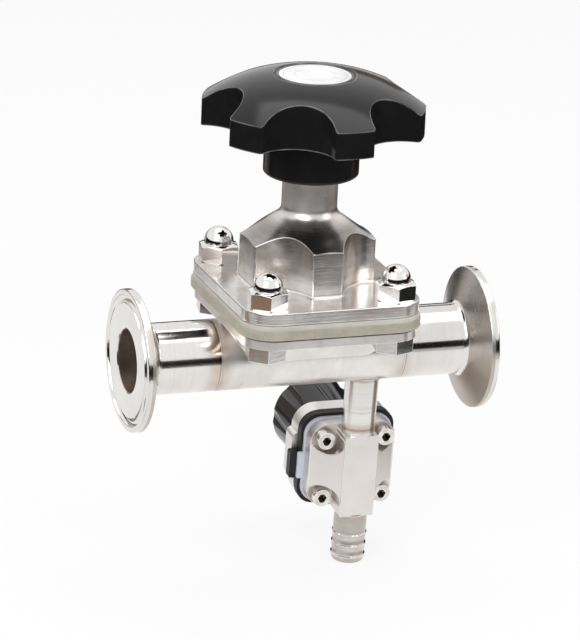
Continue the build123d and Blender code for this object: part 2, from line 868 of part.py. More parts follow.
sample_spindle_back = knob_back - knob_wall
with BuildPart() as sample_spindle:
    with BuildSketch(sample_face(sample_socket + collar_play)):
        Circle(sample_collar_r)
    extrude(amount=sample_collar_t)
    with BuildSketch(sample_face(sample_socket + collar_play)):
        Circle(sample_spindle_d / 2)
    extrude(amount=sample_spindle_back - sample_socket - collar_play)

# ---- Sampling screws ----

with BuildPart() as sample_screws:
    with BuildSketch(sample_face(plate_front - screw_head_h)):
        with GridLocations(screw_pitch, screw_pitch, 2, 2):
            Circle(screw_head_d / 2)
    extrude(amount=screw_head_h)
    with BuildSketch(sample_face(plate_front)):
        with GridLocations(screw_pitch, screw_pitch, 2, 2):
            Circle(screw_d / 2)
    extrude(amount=sample_flange_back - screw_tip_room - plate_front)
    with BuildSketch(sample_face(plate_front - screw_head_h)):
        with GridLocations(screw_pitch, screw_pitch, 2, 2):
            RegularPolygon(screw_socket_flats / 2, 6, major_radius=False)
    extrude(amount=screw_socket_depth, mode=Mode.SUBTRACT)

# ---- Sampling knob ----

knob_r = knob_d / 2
knob_shoulder_at = (knob_r, knob_back - knob_shoulder)
knob_crown_at = (knob_r - knob_crown[0], knob_back - knob_crown[1])
knob_top_at = (knob_r - knob_top_inset, knob_back)
with BuildPart() as sample_knob:
    with BuildSketch(sample_section):
        with BuildLine():
            Line((0, knob_front), (knob_front_d / 2, knob_front))
            Line((knob_front_d / 2, knob_front), knob_shoulder_at)
            ThreePointArc(knob_shoulder_at, knob_crown_at, knob_top_at)
            Line(knob_top_at, (0, knob_back))
            Line((0, knob_back), (0, knob_front))
        make_face()
    revolve(axis=sample_axis)
    with BuildSketch(sample_face(knob_front)):
        with PolarLocations(knob_r + knob_flute_out, knob_lobes):
            Circle(knob_flute_r)
    extrude(amount=knob_back - knob_front, mode=Mode.SUBTRACT)
    with BuildSketch(sample_face(knob_front)):
        Circle(sample_neck_r + slide_gap)
    extrude(amount=sample_neck_back + sample_stroke + 2 * end_gap - knob_front, mode=Mode.SUBTRACT)
    with BuildSketch(sample_face(knob_front)):
        Circle(sample_spindle_d / 2)
    extrude(amount=sample_spindle_back - knob_front, mode=Mode.SUBTRACT)

# ---- Files ----

save(body.part, "run_body")
save(inlet_ferrule.part, "inlet_ferrule")
save(outlet_ferrule.part, "outlet_ferrule")
save(diaphragm_face, "main_diaphragm_face")
save(diaphragm_backing, "main_diaphragm_backing")
save(membrane.part, "main_membrane")
save(main_bonnet.part, "main_bonnet")
save(neck_seal.part, "neck_seal")
save(spindle_nut.part, "spindle_nut")
save(main_compressor.part, "main_compressor")
save(main_spindle.part, "main_spindle")
save(handwheel.part, "handwheel")
save(handwheel_nut.part, "handwheel_nut")
save(handwheel_disc.part, "handwheel_disc")
save(flange_bolts.part, "flange_bolts")
save(dome_nuts.part, "dome_nuts")
save(branch_stub.part, "branch_stub")
save(sample_valve_block.part, "sample_valve_block")
save(hose_barb.part, "hose_barb")
save(sample_diaphragm_face, "sample_diaphragm_face")
save(sample_diaphragm_backing, "sample_diaphragm_backing")
save(sample_membrane.part, "sample_membrane")
save(sample_bonnet.part, "sample_bonnet")
save(sample_spindle_nut.part, "sample_spindle_nut")
save(sample_compressor.part, "sample_compressor")
save(sample_spindle.part, "sample_spindle")
save(sample_screws.part, "sample_screws")
save(sample_knob.part, "sample_knob")
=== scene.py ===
import math
import bmesh
import bpy
from mathutils import Matrix, Vector


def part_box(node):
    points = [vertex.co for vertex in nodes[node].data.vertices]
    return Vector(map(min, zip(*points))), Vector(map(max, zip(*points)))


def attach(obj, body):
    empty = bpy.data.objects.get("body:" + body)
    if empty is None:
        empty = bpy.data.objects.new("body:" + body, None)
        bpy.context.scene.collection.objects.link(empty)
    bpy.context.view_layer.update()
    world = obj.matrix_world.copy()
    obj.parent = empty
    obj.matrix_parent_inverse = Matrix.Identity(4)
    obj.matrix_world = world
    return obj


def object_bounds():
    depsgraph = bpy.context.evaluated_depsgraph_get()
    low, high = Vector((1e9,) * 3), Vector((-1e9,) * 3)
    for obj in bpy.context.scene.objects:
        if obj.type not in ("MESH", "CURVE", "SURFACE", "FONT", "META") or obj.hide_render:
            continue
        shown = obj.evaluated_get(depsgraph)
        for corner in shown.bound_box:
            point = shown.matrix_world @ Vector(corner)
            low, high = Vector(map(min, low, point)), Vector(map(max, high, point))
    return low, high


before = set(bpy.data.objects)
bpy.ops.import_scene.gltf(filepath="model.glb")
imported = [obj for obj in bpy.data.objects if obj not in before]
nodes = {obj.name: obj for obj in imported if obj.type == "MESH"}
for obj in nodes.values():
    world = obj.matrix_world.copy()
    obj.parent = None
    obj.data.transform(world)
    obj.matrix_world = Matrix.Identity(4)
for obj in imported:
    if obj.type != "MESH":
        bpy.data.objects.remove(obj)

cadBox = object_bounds()
print("frame loaded:", len(nodes), "nodes")


# A socket that adds Math nodes when it is used in an expression
class Wire:
    def __init__(self, bench, socket):
        self.bench = bench
        self.socket = socket

    def maths(self, operation, first, second=0.0):
        return self.bench.node("ShaderNodeMath", {"operation": operation}, {0: first, 1: second})

    def __add__(self, other):
        return self.maths("ADD", self, other)

    def __radd__(self, other):
        return self.maths("ADD", other, self)

    def __sub__(self, other):
        return self.maths("SUBTRACT", self, other)

    def __rsub__(self, other):
        return self.maths("SUBTRACT", other, self)

    def __mul__(self, other):
        return self.maths("MULTIPLY", self, other)

    def __rmul__(self, other):
        return self.maths("MULTIPLY", other, self)

    def __pow__(self, other):
        return self.maths("POWER", self, other)

    def __gt__(self, other):
        return self.maths("GREATER_THAN", self, other)

    def __lt__(self, other):
        return self.maths("LESS_THAN", self, other)

    def apply(self, operation, other=0.0):
        return self.maths(operation, self, other)


# The node tree of one material, or of the world, with the few calls that fill it
class Bench:
    def __init__(self, owner):
        self.owner = owner
        owner.use_nodes = True
        self.tree = owner.node_tree
        self.tree.nodes.clear()
        self.column = 0

    def node(self, kind, settings=None, inputs=None, output=0):
        made = self.tree.nodes.new(kind)
        made.location = (self.column * 190, -(self.column % 5) * 170)
        self.column += 1
        for key, value in (settings or {}).items():
            if key == "stops":
                self.fillRamp(made.color_ramp, value)
            else:
                setattr(made, key, value)
        for key, value in (inputs or {}).items():
            if isinstance(value, Wire):
                self.tree.links.new(value.socket, made.inputs[key])
            else:
                made.inputs[key].default_value = value
        return Wire(self, made.outputs[output]) if len(made.outputs) else made

    def fillRamp(self, ramp, stops):
        while len(ramp.elements) < len(stops):
            ramp.elements.new(0.5)
        for element, (position, colour) in zip(ramp.elements, stops):
            element.position = position
            element.color = rgba(colour)

    def place(self):
        return self.node("ShaderNodeTexCoord", output="Object")

    def split(self, vector):
        first = self.node("ShaderNodeSeparateXYZ", None, {0: vector})
        sockets = first.socket.node.outputs
        return first, Wire(self, sockets[1]), Wire(self, sockets[2])

    # distance from the axis of the run, which lies along X
    def fromRun(self, place):
        x, y, z = self.split(place)
        return (y * y + z * z) ** 0.5

    def noise(self, vector, scale, detail=3.0, rough=0.5):
        return self.node(
            "ShaderNodeTexNoise", None,
            {"Vector": vector, "Scale": scale, "Detail": detail, "Roughness": rough},
        )

    # noise drawn out along the axes that have a small number in "grain"
    def drawnNoise(self, place, grain, detail, rough=0.6):
        drawn = self.node("ShaderNodeVectorMath", {"operation": "MULTIPLY"}, {0: place, 1: grain})
        return self.noise(drawn, 1.0, detail, rough)

    # the colour sockets of this node share their names, so they go by number
    def mix(self, factor, first, second):
        return self.node(
            "ShaderNodeMix", {"data_type": "RGBA", "blend_type": "MIX"},
            {0: factor, 6: first, 7: second}, 2,
        )

    def band(self, value, low, high, start=0.0, end=1.0):
        return self.node(
            "ShaderNodeMapRange", {"interpolation_type": "SMOOTHSTEP"},
            {0: value, 1: low, 2: high, 3: start, 4: end},
        )

    def softEdge(self, look):
        if "edge" not in look:
            return None
        return self.node("ShaderNodeBevel", {"samples": 6}, {"Radius": look["edge"]})

    # 0 on a face, rising to 1 at its sharp edges
    def edgeMask(self, radius):
        rounded = self.node("ShaderNodeBevel", {"samples": 8}, {"Radius": radius})
        flat = self.node("ShaderNodeNewGeometry", output="Normal")
        agree = self.node("ShaderNodeVectorMath", {"operation": "DOT_PRODUCT"}, {0: rounded, 1: flat}, "Value")
        return self.band(1.0 - agree, 0.008, 0.07)

    # distance from a straight line through "point" along the unit vector "direction"
    def fromLine(self, place, point, direction):
        arm = self.node("ShaderNodeVectorMath", {"operation": "SUBTRACT"}, {0: place, 1: point})
        across = self.node("ShaderNodeVectorMath", {"operation": "CROSS_PRODUCT"}, {0: arm, 1: direction})
        return self.node("ShaderNodeVectorMath", {"operation": "LENGTH"}, {0: across}, "Value")

    def bump(self, height, distance, strength=1.0, under=None):
        inputs = {"Height": height, "Distance": distance, "Strength": strength}
        if under is not None:
            inputs["Normal"] = under
        return self.node("ShaderNodeBump", None, inputs)

    # 1 for the kinds of ray named, 0 for all others
    def rays(self, *kinds):
        path = self.node("ShaderNodeLightPath").socket.node
        found = Wire(self, path.outputs[kinds[0]])
        for kind in kinds[1:]:
            found = found + Wire(self, path.outputs[kind])
        return found.apply("MINIMUM", 1.0)

    def surface(self, sockets):
        shader = self.node("ShaderNodeBsdfPrincipled", None, sockets)
        return self.close(shader)

    def close(self, shader, kind="Material"):
        self.node("ShaderNodeOutput" + kind, None, {0: shader})
        return self.owner


def rgba(colour, factor=1.0):
    return (*(min(1.0, channel * factor) for channel in colour), 1.0)


# What linedSteel does unless a finish says otherwise
steelUsual = {
    "patch": 45.0, "low": 0.9, "high": 1.03, "patchRough": 0.08, "smoothest": 0.04,
    "lineTone": 0.3, "lineShade": 0.72, "lineRough": 0.12, "fine": 900.0, "fineShare": 0.25,
    "streakScale": 0.16, "streakRough": 0.12, "stain": 0.0, "stainColour": (0.40, 0.32, 0.26),
    "wave": 0.00005, "depth": 0.000012, "heatAxis": 0, "shadeColour": (0.14, 0.12, 0.105),
}

# Colours that welding leaves on the steel, of the backs of the clamp rims, of painted shade in grooves, bores and
# sockets, and of painted highlights on edges
steelMarks = {
    "heatColour": (0.50, 0.36, 0.28), "seamColour": (0.22, 0.17, 0.14), "seamWidth": 0.0008,
    "rimCloud": (0.46, 0.38, 0.31), "rimLow": (0.44, 0.36, 0.30), "grime": (0.26, 0.20, 0.16),
    "edgeHighlight": (0.98, 0.97, 0.95), "boreShadeDark": (0.10, 0.075, 0.06), "boreShadeLight": (0.34, 0.27, 0.22),
    "socketShade": (0.13, 0.105, 0.085),
}


# Steel coloured by welds: "heat" lists where along the axis, and how far to each side
def heatMarks(bench, look, place, colour, soft):
    along = bench.split(place)[look["heatAxis"]]
    seam = steelMarks["seamWidth"]
    for weldPlace, reach in look["heat"]:
        away = (along - weldPlace).apply("ABSOLUTE")
        nearness = bench.band(away, reach, 0.0) * (soft - 0.32).apply("MAXIMUM", 0.0) * 2.2
        colour = bench.mix(nearness, colour, rgba(steelMarks["heatColour"]))
        line = bench.band(away, seam, seam / 4) * (0.1 + soft * 0.7)
        colour = bench.mix(line, colour, rgba(steelMarks["seamColour"]))
    return colour


# Duller, cloudy backs of the clamp rims, browner below: "rim" is radius, first x, last x
def rimBacks(bench, look, place, colour, rough, soft):
    radius, first, last = look["rim"]
    x, y, z = bench.split(place)
    behind = (bench.fromRun(place) > radius) * (x > first) * (x < last)
    lower = bench.band(z + soft * 0.006, 0.007, -0.006) * behind
    colour = bench.mix(lower * 0.6, colour, rgba(steelMarks["rimLow"]))
    clouds = behind * bench.band(soft, 0.42, 0.6) * 0.55
    return bench.mix(clouds, colour, rgba(steelMarks["rimCloud"])), rough + behind * (0.08 + soft * 0.2)


# Painted shade above a height: "shade" is start, full, strength, and where it fades, faded
def shadeAbove(bench, look, place, colour, streaks):
    start, full, strength, fading, faded = look["shade"]
    height = bench.split(place)[2]
    paintedLightMask = bench.band(height, start, full) - bench.band(height, fading, faded) * 0.75
    paintedLightMask = paintedLightMask.apply("MAXIMUM", 0.0) * (0.5 + streaks * 0.9).apply("MINIMUM", 1.0) * strength
    return bench.mix(paintedLightMask, colour, rgba(look["shadeColour"]))


# Steel with fine polishing lines. "grain" squeezes the noise along each axis: a large number is a fine line.
def linedSteel(name, ownLook):
    look = {**steelUsual, **ownLook}
    bench = Bench(bpy.data.materials.new(name))
    place = bench.place()
    steel = look["colour"]
    lines = bench.drawnNoise(place, look["grain"], 4.0)
    streaks = bench.drawnNoise(place, tuple(squeeze * look["streakScale"] for squeeze in look["grain"]), 3.0)
    soft = bench.noise(place, look["patch"], 3.0, 0.55)
    fine = bench.noise(place, look["fine"], 2.0)
    tone = bench.band(soft, 0.3, 0.7)
    colour = bench.mix(tone, rgba(steel, look["low"]), rgba(steel, look["high"]))
    colour = bench.mix(bench.band(lines, 0.35, 0.75) * look["lineTone"], colour, rgba(steel, look["lineShade"]))
    colour = bench.mix(bench.band(streaks, 0.5, 0.72) * look["stain"], colour, rgba(look["stainColour"]))
    if "heat" in look:
        colour = heatMarks(bench, look, place, colour, soft)
    rough = look["rough"] + (lines - 0.5) * look["lineRough"] + (soft - 0.5) * look["patchRough"]
    rough = rough + (streaks - 0.5) * look["streakRough"]
    wave = bench.bump(soft, look["wave"], 0.5, bench.softEdge(look))
    normal = bench.bump(lines + fine * look["fineShare"], look["depth"], 0.6, wave)
    metallic = 1.0
    if "rim" in look:
        colour, rough = rimBacks(bench, look, place, colour, rough, soft)
    if "satin" in look:  # a duller stretch: axis, start, end, how much rougher
        axis, start, end, duller = look["satin"]
        rough = rough + bench.band(bench.split(place)[axis], end, start) * duller
    if "grooves" in look:  # painted shade in the grooves, below a radius round a line: point, direction, radius
        point, direction, radius = look["grooves"]
        below = bench.band(bench.fromLine(place, point, direction), radius, radius - 0.0002)
        colour = bench.mix(below * bench.band(soft, 0.35, 0.62) * 0.8, colour, rgba(steelMarks["grime"]))
    if "shade" in look:
        colour = shadeAbove(bench, look, place, colour, streaks)
    if "glint" in look:  # painted highlight along the sharp edges
        shining = bench.edgeMask(look["glint"])
        colour = bench.mix(shining * 0.8, colour, rgba(steelMarks["edgeHighlight"]))
        rough = rough - shining * 0.06
    if "boreRadius" in look:  # the inside of the run: duller, partly non-metallic, and darkened brown with painted shade
        inside = bench.fromRun(place) < look["boreRadius"]
        bore = bench.mix(tone, rgba(steelMarks["boreShadeDark"]), rgba(steelMarks["boreShadeLight"]))
        colour = bench.mix(inside, colour, bore)
        rough = rough + inside * 0.12
        metallic = 1.0 - inside * 0.4
    if "sockets" in look:  # painted shade in round sockets on parallel axes, such as the sockets of screws
        dark = 0.0
        for centre in look["sockets"]:
            dark = dark + (bench.fromLine(place, centre, look["socketAxis"]) < look["socketRadius"])
        colour = bench.mix(dark, colour, rgba(steelMarks["socketShade"]))
    rough = rough.apply("MAXIMUM", look["smoothest"])
    return bench.surface({"Base Color": colour, "Metallic": metallic, "Roughness": rough, "Normal": normal})


# Steel blasted with fine beads: no direction, an even pale grey
blastedUsual = {
    "cloud": 60.0, "low": 0.95, "high": 1.03, "grimeColour": (0.36, 0.30, 0.255), "edgeHighlight": (0.97, 0.96, 0.94),
    "gritRough": 0.16, "cloudRough": 0.06,
}


def blastedSteel(name, ownLook):
    look = {**blastedUsual, **ownLook}
    bench = Bench(bpy.data.materials.new(name))
    place = bench.place()
    grit = bench.noise(place, look["grit"], 2.0, 0.6)
    cloud = bench.noise(place, look["cloud"], 4.0, 0.6)
    tone = bench.band(cloud, 0.3, 0.7)
    colour = bench.mix(tone, rgba(look["colour"], look["low"]), rgba(look["colour"], look["high"]))
    # painted shade round each screw recess, patchy
    for centre in look.get("recesses", []):
        away = bench.fromLine(place, centre, look["recessAxis"])
        hollow = bench.band(away, look["recessRadius"], look["recessRadius"] * 0.72) * (0.45 + cloud * 0.5)
        colour = bench.mix(hollow, colour, rgba(look["grimeColour"]))
    rough = look["rough"] + (grit - 0.5) * look["gritRough"] + (cloud - 0.5) * look["cloudRough"]
    # painted highlight along the sharp edges
    if "glint" in look:
        colour = bench.mix(bench.edgeMask(look["glint"]) * 0.7, colour, rgba(look["edgeHighlight"]))
    normal = bench.bump(grit, look["depth"], 0.55, bench.softEdge(look))
    return bench.surface({"Base Color": colour, "Metallic": 1.0, "Roughness": rough, "Normal": normal})


# Moulded plastic or rubber, glossy or dull
mouldedUsual = {
    "grain": 1400.0, "swirl": 70.0, "low": 0.86, "high": 1.12, "edgeHighlight": (0.5, 0.5, 0.5), "ink": (0.12, 0.12, 0.12),
    "grainRough": 0.1, "swirlRough": 0.06, "smoothest": 0.03, "flow": 0.00002, "depth": 0.00002,
    "shine": 0.5, "subsurface": 0.0, "lightDepth": 0.002,
}


def moulded(name, ownLook):
    look = {**mouldedUsual, **ownLook}
    bench = Bench(bpy.data.materials.new(name))
    place = bench.place()
    grain = bench.noise(place, look["grain"], 3.0, 0.6)
    swirl = bench.noise(place, look["swirl"], 4.0, 0.6)
    tone = bench.band(swirl, 0.25, 0.75)
    colour = bench.mix(tone, rgba(look["colour"], look["low"]), rgba(look["colour"], look["high"]))
    # painted highlight along the sharp edges, in patches
    if "glint" in look:
        paintedLightMask = bench.edgeMask(look["glint"]) * bench.band(swirl, 0.3, 0.65, 0.15, 1.0)
        colour = bench.mix(paintedLightMask * look["glintTone"], colour, rgba(look["edgeHighlight"]))
    if "rings" in look:  # thin printed circles round the spindle: radius, half width, strength
        x, y, z = bench.split(place)
        away = ((x - look["ringX"]) ** 2.0 + y ** 2.0) ** 0.5
        for radius, width, strength in look["rings"]:
            line = bench.band((away - radius).apply("ABSOLUTE"), width, width * 0.4)
            colour = bench.mix(line * strength, colour, rgba(look["ink"]))
    rough = look["rough"] + (grain - 0.5) * look["grainRough"] + (swirl - 0.5) * look["swirlRough"]
    flow = bench.bump(swirl, look["flow"], 0.4, bench.softEdge(look))
    return bench.surface({
        "Base Color": colour, "Roughness": rough.apply("MAXIMUM", look["smoothest"]),
        "Normal": bench.bump(grain, look["depth"], 0.5, flow), "Specular IOR Level": look["shine"],
        "Subsurface Weight": look["subsurface"], "Subsurface Scale": look["lightDepth"],
    })


# Places that the finishes need, measured on the nodes
def middleOf(nodeName):
    lowCorner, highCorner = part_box(nodeName)
    return (lowCorner + highCorner) / 2


runLow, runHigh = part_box("run_body")
stubLow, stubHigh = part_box("branch_stub")
stubX = middleOf("branch_stub").x
stubRadius = (stubHigh.x - stubLow.x) / 2
sampleLean = math.radians(5.3)  # how far the branch leans back from upright
downStub = Vector((0.0, math.sin(sampleLean), -math.cos(sampleLean)))
acrossStub = Vector((0.0, math.cos(sampleLean), math.sin(sampleLean)))
screwMiddle = middleOf("sample_screws")
screwCorners = {}
for vertex in nodes["sample_screws"].data.vertices:
    cornerKey = (vertex.co.x > screwMiddle.x, vertex.co.z > screwMiddle.z)
    screwCorners.setdefault(cornerKey, []).append(vertex.co.copy())
screwCentres = [
    tuple((min(point[axis] for point in group) + max(point[axis] for point in group)) / 2 for axis in range(3))
    for group in screwCorners.values()
]

# One entry for each finish. Colours are linear, lengths are in metres, roughness is from 0 to 1.
steelWarm = (0.80, 0.785, 0.755)
steelBright = (0.84, 0.83, 0.81)
aroundRun = (2600.0, 60.0, 60.0)
aroundSpindle = (70.0, 70.0, 2600.0)
finishes = {
    "run_body": linedSteel("runSteel", {
        "colour": (0.82, 0.795, 0.765), "rough": 0.24, "grain": (900.0, 120.0, 120.0), "patch": 75.0, "stain": 0.12,
        "satin": (0, runLow.x, runLow.x + 0.014, 0.2), "glint": 0.0006,
        # "shade": painted shade in a thin band at the top of the body flange, under the diaphragm
        "shade": (runHigh.z - 0.0012, runHigh.z - 0.0007, 0.95, 1.0, 2.0), "shadeColour": (0.05, 0.045, 0.04),
        "lineTone": 0.1, "lineRough": 0.06, "wave": 0.00012, "low": 0.86, "boreRadius": 0.0112,
        "heat": [(runLow.x, 0.006), (runHigh.x, 0.006)],
    }),
    "ferrule": linedSteel("ferruleSteel", {
        "colour": steelWarm, "rough": 0.13, "grain": aroundRun, "lineRough": 0.07, "stain": 0.12, "lineTone": 0.15,
        "boreRadius": 0.0114, "rim": (0.0135, 0.0016, cadBox[1].x - 0.0016),
        "heat": [(runLow.x, 0.008), (runHigh.x, 0.006)],
    }),
    "main_bonnet": linedSteel("bonnetSteel", {
        "colour": (0.84, 0.81, 0.785), "rough": 0.22, "grain": aroundSpindle, "wave": 0.0002, "depth": 0.00004,
        "stain": 0.55, "streakScale": 0.05, "streakRough": 0.22, "patch": 75.0, "low": 0.74, "edge": 0.0005,
        # "shade": painted shade, darker towards the top of the facets and less on the cone above
        "shade": (0.031, 0.047, 0.8, 0.0465, 0.0505), "glint": 0.0007, "satin": (2, 0.050, 0.046, 0.13),
    }),
    "dome_nuts": linedSteel("nutSteel", {
        "colour": steelBright, "rough": 0.06, "grain": (300.0, 300.0, 300.0), "lineRough": 0.04,
        "streakRough": 0.03, "stain": 0.1, "edge": 0.0003, "glint": 0.0004,
    }),
    "flange_bolts": linedSteel("boltSteel", {
        "colour": (0.58, 0.57, 0.56), "rough": 0.13, "grain": (300.0, 300.0, 1800.0), "stain": 0.4, "lineRough": 0.2,
        "lineTone": 0.6, "edge": 0.0004, "glint": 0.0005,
    }),
    "branch_stub": linedSteel("stubSteel", {
        "colour": steelWarm, "rough": 0.2, "grain": (80.0, 80.0, 2400.0), "stain": 0.25, "lineTone": 0.15,
        "wave": 0.0001, "heatAxis": 2,
        "heat": [(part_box("sample_valve_block")[1].z, 0.004), (runLow.z, 0.004)],
    }),
    "sample_valve_block": blastedSteel("blockSteel", {
        "colour": (0.80, 0.765, 0.735), "rough": 0.42, "grit": 2600.0, "depth": 0.00003, "edge": 0.0003,
        "recesses": screwCentres, "recessRadius": 0.0052, "glint": 0.0005,
        "recessAxis": tuple(acrossStub),
    }),
    "sample_bonnet": blastedSteel(
        "sampleBonnetSteel", {"colour": (0.82, 0.81, 0.79), "rough": 0.42, "grit": 2200.0, "depth": 0.00003}
    ),
    "hose_barb": linedSteel("barbSteel", {
        "colour": (0.68, 0.64, 0.60), "rough": 0.18, "grain": (90.0, 90.0, 2600.0), "stain": 0.4, "wave": 0.0001,
        "low": 0.7, "patch": 160.0, "glint": 0.0006, "grooves": ((stubX, 0.0, 0.0), tuple(downStub), 0.00605),
    }),
    "sample_screws": linedSteel("screwSteel", {
        "colour": (0.82, 0.79, 0.74), "rough": 0.12, "glint": 0.0004, "grain": (700.0, 700.0, 700.0), "stain": 0.3,
        "sockets": screwCentres, "socketRadius": 0.00125, "low": 0.75, "patch": 300.0,
        "socketAxis": tuple(acrossStub),
    }),
    "inner_steel": linedSteel("innerSteel", {"colour": (0.6, 0.6, 0.6), "rough": 0.32, "grain": aroundSpindle}),
    "brass": linedSteel("bushBrass", {"colour": (0.79, 0.60, 0.30), "rough": 0.26, "grain": aroundSpindle}),
    "main_diaphragm_backing": moulded(
        "diaphragmCream",
        {"colour": (0.54, 0.53, 0.48), "rough": 0.34, "grain": 900.0, "depth": 0.00004, "subsurface": 0.2},
    ),
    "main_diaphragm_face": moulded(
        "diaphragmFace", {"colour": (0.42, 0.39, 0.32), "rough": 0.3, "subsurface": 0.2, "swirl": 110.0}
    ),
    "sample_diaphragm_face": moulded("sampleFace", {"colour": (0.64, 0.68, 0.78), "rough": 0.3, "subsurface": 0.1}),
    "sample_diaphragm_backing": moulded(
        "sampleRubber", {"colour": (0.012, 0.012, 0.013), "rough": 0.45, "shine": 0.3}
    ),
    "seal": moulded("sealRubber", {"colour": (0.015, 0.015, 0.015), "rough": 0.45}),
    "handwheel": moulded(
        "wheelBakelite",
        {"colour": (0.009, 0.009, 0.0095), "rough": 0.15, "flow": 0.00006, "swirl": 120.0, "depth": 0.000008,
         "shine": 0.24, "edge": 0.0007, "glint": 0.0008, "glintTone": 0.45},
    ),
    "handwheel_disc": moulded("discWhite", {
        "colour": (0.80, 0.80, 0.80), "rough": 0.35, "grain": 700.0, "ringX": middleOf("handwheel").x,
        "rings": [(0.0111, 0.00018, 0.5), (0.0072, 0.00014, 0.4), (0.0041, 0.00012, 0.25)],
    }),
    "sample_knob": moulded(
        "knobPlastic", {"colour": (0.009, 0.009, 0.01), "rough": 0.13, "depth": 0.00001}
    ),
}

# Nodes that share a finish with another
usedBy = {
    "inlet_ferrule": "ferrule", "outlet_ferrule": "ferrule", "main_membrane": "main_diaphragm_face",
    "neck_seal": "seal", "spindle_nut": "brass", "sample_spindle_nut": "brass",
    "main_compressor": "inner_steel", "sample_compressor": "inner_steel", "main_spindle": "inner_steel",
    "sample_spindle": "inner_steel", "handwheel_nut": "inner_steel", "sample_membrane": "sample_diaphragm_face",
}
for nodeName, nodeObject in nodes.items():
    finish = finishes[usedBy.get(nodeName, nodeName)]
    nodeObject.data.materials.clear()
    nodeObject.data.materials.append(finish)
print("finishes on", len(nodes), "nodes")


# A Geometry Nodes tree that grows one piece. Each of its inputs is (name, kind, value).
class Grower:
    def __init__(self, name, inputs):
        self.tree = bpy.data.node_groups.new(name, "GeometryNodeTree")
        self.tree.interface.new_socket("Geometry", in_out="INPUT", socket_type="NodeSocketGeometry")
        self.identifiers = {}
        for label, kind, value in inputs:
            socket = self.tree.interface.new_socket(label, in_out="INPUT", socket_type="NodeSocket" + kind)
            socket.default_value = value
            self.identifiers[label] = socket.identifier
        self.tree.interface.new_socket("Geometry", in_out="OUTPUT", socket_type="NodeSocketGeometry")
        self.given = self.tree.nodes.new("NodeGroupInput").outputs
        self.result = self.tree.nodes.new("NodeGroupOutput")

    def step(self, kind, settings=None, inputs=None, output=0):
        made = self.tree.nodes.new(kind)
        for key, value in (settings or {}).items():
            setattr(made, key, value)
        for key, value in (inputs or {}).items():
            if isinstance(value, bpy.types.NodeSocket):
                self.tree.links.new(value, made.inputs[key])
            else:
                made.inputs[key].default_value = value
        return made.outputs[output]

    def finish(self, geometry, material):
        whole = self.step("GeometryNodeRealizeInstances", None, {0: geometry})
        painted = self.step("GeometryNodeSetMaterial", None, {0: whole, "Material": material})
        self.tree.links.new(painted, self.result.inputs[0])

    def grow(self, name, seedMesh, values):
        seed = bpy.data.objects.new(name + "Seed", seedMesh)
        bpy.context.scene.collection.objects.link(seed)
        modifier = seed.modifiers.new(name, "NODES")
        modifier.node_group = self.tree
        for label, value in values.items():
            modifier[self.identifiers[label]] = value
        ready = seed.evaluated_get(bpy.context.evaluated_depsgraph_get())
        mesh = bpy.data.meshes.new_from_object(ready)
        bpy.data.objects.remove(seed)
        mesh.name = name
        piece = bpy.data.objects.new(name, mesh)
        bpy.context.scene.collection.objects.link(piece)
        return piece


def loopMesh(name, points):
    mesh = bpy.data.meshes.new(name)
    count = len(points)
    mesh.from_pydata(points, [(k, (k + 1) % count) for k in range(count)], [])
    return mesh


# Fine upright ribs moulded into the edge of the diaphragm's lower layer
ribLook = {"pitch": 0.0006, "radius": 0.00022, "sink": 0.00008, "margin": 0.0003, "sides": 8}
layerLow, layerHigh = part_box("main_diaphragm_face")
layerMiddle = middleOf("main_diaphragm_face")
outline = bmesh.new()
outline.from_mesh(nodes["main_diaphragm_face"].data)
for vertex in outline.verts:
    vertex.co.z = 0.0
bmesh.ops.remove_doubles(outline, verts=outline.verts, dist=0.00005)
edgeVerts = [
    item for item in bmesh.ops.convex_hull(outline, input=outline.verts)["geom"]
    if isinstance(item, bmesh.types.BMVert)
]
edgeVerts.sort(key=lambda vertex: math.atan2(vertex.co.y - layerMiddle.y, vertex.co.x - layerMiddle.x))
ribPath = []
for vertex in edgeVerts:
    outward = Vector((vertex.co.x - layerMiddle.x, vertex.co.y - layerMiddle.y, 0)).normalized()
    spot = vertex.co - outward * ribLook["sink"]
    ribPath.append((spot.x, spot.y, layerMiddle.z))
outline.free()
ribTree = Grower("ribTree", [
    ("Pitch", "Float", ribLook["pitch"]), ("Radius", "Float", ribLook["radius"]), ("Height", "Float", 0.002),
    ("Sides", "Int", ribLook["sides"]),
])
ribCurve = ribTree.step("GeometryNodeMeshToCurve", None, {0: ribTree.given["Geometry"]})
ribPoints = ribTree.step(
    "GeometryNodeResampleCurve", {"mode": "LENGTH"}, {"Curve": ribCurve, "Length": ribTree.given["Pitch"]}
)
oneRib = ribTree.step("GeometryNodeMeshCylinder", None, {
    "Vertices": ribTree.given["Sides"], "Radius": ribTree.given["Radius"],
    "Depth": ribTree.given["Height"],
})
ribs = ribTree.step("GeometryNodeInstanceOnPoints", None, {"Points": ribPoints, "Instance": oneRib})
ribTree.finish(ribs, finishes["main_diaphragm_face"])
diaphragmRibs = ribTree.grow(
    "diaphragmRibs", loopMesh("ribPath", ribPath),
    {"Height": layerHigh.z - layerLow.z - 2 * ribLook["margin"]},
)
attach(diaphragmRibs, "valve_body")
print("diaphragm ribs:", len(diaphragmRibs.data.polygons), "faces")

